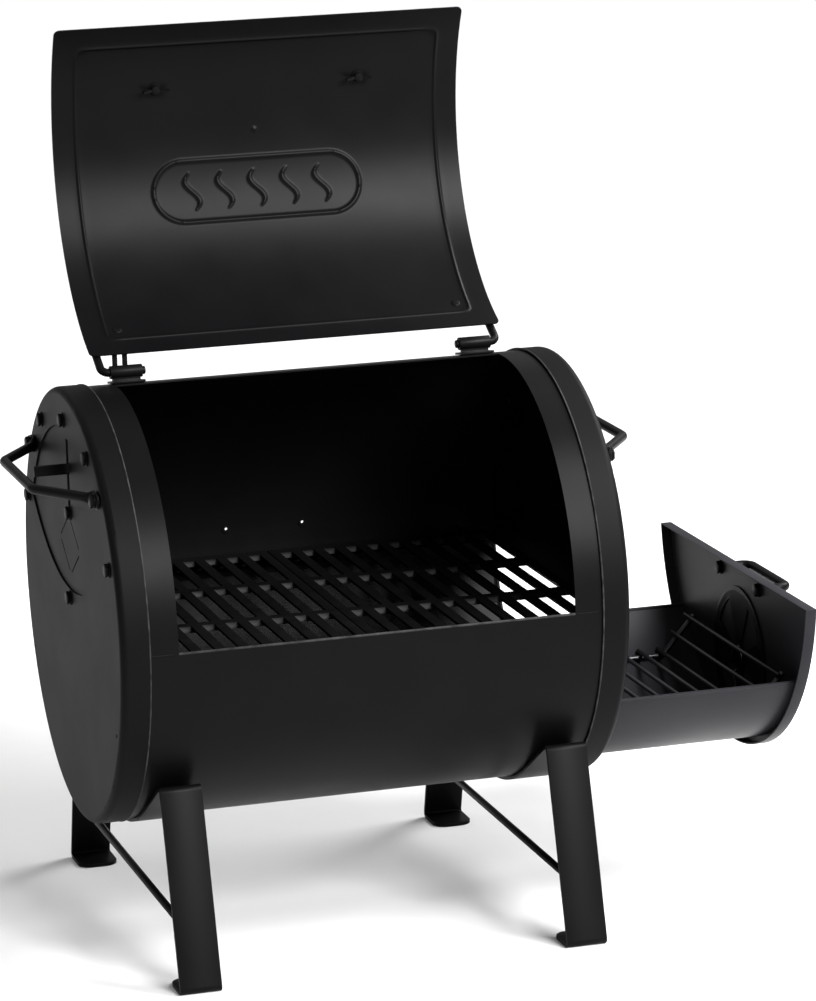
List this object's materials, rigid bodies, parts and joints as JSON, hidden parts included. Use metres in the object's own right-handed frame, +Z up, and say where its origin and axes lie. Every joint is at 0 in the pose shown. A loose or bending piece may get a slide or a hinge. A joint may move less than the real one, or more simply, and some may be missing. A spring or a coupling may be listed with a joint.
{
  "type": "offset smoker",
  "caption": "Table-top barrel smoker with a swing-back lid, cast grates, strap legs and a pull-out charcoal drawer.",
  "frame": {"origin": "on the ground under the middle of the whole smoker as stored, with the lid open and the drawer pulled out", "axes": "+X along the barrel towards the charcoal drawer, +Y to the back where the lid hinges, +Z up"},
  "size_m": [0.6728, 0.4076, 0.7492],
  "materials": {
    "black_paint": "satin",
    "cast_grate": "matte",
    "black_fastener": "satin",
    "grate_wire": "satin",
    "zinc": "satin"
  },
  "bodies": {
    "barrel": {"barrel_shell": "black_paint", "left_arch_strip": "black_paint", "right_arch_strip": "black_paint", "left_end_cap": "black_paint", "right_end_cap": "black_paint", "blanking_plate": "black_paint", "blanking_bolts": "black_fastener", "blanking_tab": "black_paint", "left_end_handle": "black_paint", "right_end_handle": "black_paint", "end_handle_bolts": "black_fastener", "left_hinge_bracket": "black_paint", "right_hinge_bracket": "black_paint", "lid_stop": "black_paint", "left_leg": "black_paint", "right_leg": "black_paint", "leg_bolts": "black_fastener", "left_leg_brace": "black_paint", "right_leg_brace": "black_paint", "front_grate_ledge": "black_paint", "rear_grate_ledge": "black_paint", "drawer_rests": "black_paint"},
    "lid": {"lid_panel": "black_paint", "left_hinge_arm": "black_paint", "right_hinge_arm": "black_paint", "hinge_arm_bolts": "black_fastener", "lid_handle": "black_paint", "lid_handle_bolts": "black_fastener", "lid_wing_nuts": "black_fastener"},
    "left_grate": {"left_cooking_grate": "cast_grate"},
    "right_grate": {"right_cooking_grate": "cast_grate"},
    "drawer": {"drawer_trough": "black_paint", "drawer_panel": "black_paint", "drawer_skids": "black_paint", "drawer_handle": "black_paint", "drawer_handle_bolts": "black_fastener", "damper_pivot_bolt": "black_fastener", "damper_spring": "zinc"},
    "damper": {"damper_disc": "black_paint"},
    "charcoal_grate": {"charcoal_grate_wires": "grate_wire", "charcoal_grate_rails": "grate_wire"}
  },
  "joints": [
    {"name": "lid_hinge", "type": "hinge", "parent": "barrel", "child": "lid", "pos_m": [-0.07675, 0.03309, 0.47162], "axis": [1, 0, 0], "range_deg": [0, 152.3]},
    {"name": "drawer_slide", "type": "slide", "parent": "barrel", "child": "drawer", "axis": [1, 0, 0], "range_m": [-0.167, 0.155]},
    {"name": "damper_turn", "type": "hinge", "parent": "drawer", "child": "damper", "pos_m": [0.30375, 0, 0.179], "axis": [1, 0, 0], "range_deg": [0, 45]},
    {"name": "left_grate_lift", "type": "slide", "parent": "barrel", "child": "left_grate", "axis": [0, 0, 1], "range_m": [0, 0.04]},
    {"name": "right_grate_lift", "type": "slide", "parent": "barrel", "child": "right_grate", "axis": [0, 0, 1], "range_m": [0, 0.04]},
    {"name": "charcoal_grate_lift", "type": "slide", "parent": "drawer", "child": "charcoal_grate", "axis": [0, 0, 1], "range_m": [0, 0.03]}
  ]
}
